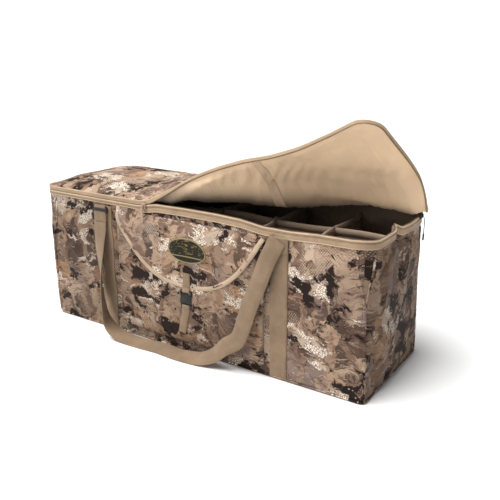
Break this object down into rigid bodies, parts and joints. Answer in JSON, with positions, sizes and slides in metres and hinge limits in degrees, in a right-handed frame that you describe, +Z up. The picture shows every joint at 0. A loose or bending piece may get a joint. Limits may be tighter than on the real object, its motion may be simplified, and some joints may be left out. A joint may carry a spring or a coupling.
{
  "type": "decoy bag",
  "caption": "Long soft-sided bag with padded upright slots, a zipped lid folded back from one corner, a buckled front pocket flap and two webbing carry loops.",
  "frame": {"origin": "middle of the flat underside, on the floor", "axes": "+X along the length towards the end where the lid is folded back, -Y to the front with the pocket, +Z up"},
  "size_m": [1.089, 0.4554, 0.6783],
  "materials": {
    "camo_cloth": "printed 900-denier polyester, coated inside",
    "tan_webbing": "woven polypropylene webbing",
    "tan_tape": "zip tape and binding",
    "lining_cloth": "satin nylon lining",
    "padded_cloth": "foam-padded nylon divider",
    "zip_teeth": "moulded coil teeth",
    "black_plastic": "acetal, light grain",
    "base_sheet": "stiff plastic sheet",
    "slider_metal": "painted zip slider",
    "patch_cloth": "woven patch",
    "patch_thread": "merrowed edge thread"
  },
  "bodies": {
    "bag": {"bottom_panel": "camo_cloth", "base_board": "base_sheet", "front_panel": "camo_cloth", "back_panel": "camo_cloth", "left_end_panel": "camo_cloth", "right_end_panel": "camo_cloth", "inner_lining": "lining_cloth", "long_divider": "padded_cloth", "front_divider_1": "padded_cloth", "front_divider_2": "padded_cloth", "front_divider_3": "padded_cloth", "front_divider_4": "padded_cloth", "front_divider_5": "padded_cloth", "rear_divider_1": "padded_cloth", "rear_divider_2": "padded_cloth", "rear_divider_3": "padded_cloth", "rear_divider_4": "padded_cloth", "rear_divider_5": "padded_cloth", "rim_zip_tape": "tan_tape", "rim_zip_chain": "zip_teeth", "rear_hinge_binding": "tan_tape", "lid_fixed_panel": "camo_cloth", "lid_fixed_lining": "lining_cloth", "lid_fixed_zip_tape": "tan_tape", "lid_fixed_zip_chain": "zip_teeth", "front_band_left": "tan_webbing", "front_band_right": "tan_webbing", "rear_band_left": "tan_webbing", "rear_band_right": "tan_webbing", "front_handle_anchors": "tan_webbing", "rear_handle_anchors": "tan_webbing", "pocket_gusset": "camo_cloth", "pocket_panel": "camo_cloth", "flap_root": "camo_cloth", "anchor_webbing": "tan_webbing"},
    "lid": {"lid_flap_panel": "camo_cloth", "lid_flap_lining": "lining_cloth", "lid_flap_zip_tape": "tan_tape", "lid_flap_zip_chain": "zip_teeth", "lid_inner_strap": "tan_webbing"},
    "front_handle": {"front_handle_webbing": "tan_webbing", "front_handle_ring": "black_plastic"},
    "rear_handle": {"rear_handle_webbing": "tan_webbing", "rear_handle_ring": "black_plastic"},
    "flap": {"flap_panel": "camo_cloth", "flap_binding": "tan_tape", "oval_patch": "patch_cloth", "patch_border": "patch_thread", "flap_tab_webbing": "tan_webbing", "buckle_female": "black_plastic"},
    "buckle_plug": {"buckle_male": "black_plastic", "buckle_tail": "tan_webbing"},
    "front_slider": {"front_zip_slider": "slider_metal"},
    "front_pull": {"front_zip_pull": "slider_metal"},
    "end_slider": {"end_zip_slider": "black_plastic"},
    "end_pull": {"end_zip_pull": "black_plastic"}
  },
  "joints": [
    {"name": "lid_fold", "type": "hinge", "parent": "bag", "child": "lid", "pos_m": [-0.14, -0.175, 0.4175], "axis": [-0.8878, -0.4603, 0], "range_deg": [-60, 40]},
    {"name": "front_handle_swing", "type": "hinge", "parent": "bag", "child": "front_handle", "pos_m": [0, -0.181, 0.386], "axis": [-1, 0, 0], "range_deg": [0, 165]},
    {"name": "rear_handle_swing", "type": "hinge", "parent": "bag", "child": "rear_handle", "pos_m": [0, 0.181, 0.386], "axis": [1, 0, 0], "range_deg": [0, 165]},
    {"name": "flap_lift", "type": "hinge", "parent": "bag", "child": "flap", "pos_m": [0, -0.1875, 0.352], "axis": [-1, 0, 0], "range_deg": [0, 95]},
    {"name": "buckle_release", "type": "slide", "parent": "bag", "child": "buckle_plug", "axis": [0, 0, -1], "range_m": [0, 0.03]},
    {"name": "front_slider_run", "type": "slide", "parent": "bag", "child": "front_slider", "axis": [1, 0, 0], "range_m": [0, 0.61]},
    {"name": "front_pull_swing", "type": "hinge", "parent": "front_slider", "child": "front_pull", "pos_m": [-0.14, -0.191, 0.408], "axis": [-1, 0, 0], "range_deg": [0, 100]},
    {"name": "end_slider_run", "type": "slide", "parent": "bag", "child": "end_slider", "axis": [0, -1, 0], "range_m": [0, 0.25]},
    {"name": "end_pull_swing", "type": "hinge", "parent": "end_slider", "child": "end_pull", "pos_m": [0.551, 0.13, 0.408], "axis": [0, -1, 0], "range_deg": [0, 100]}
  ]
}
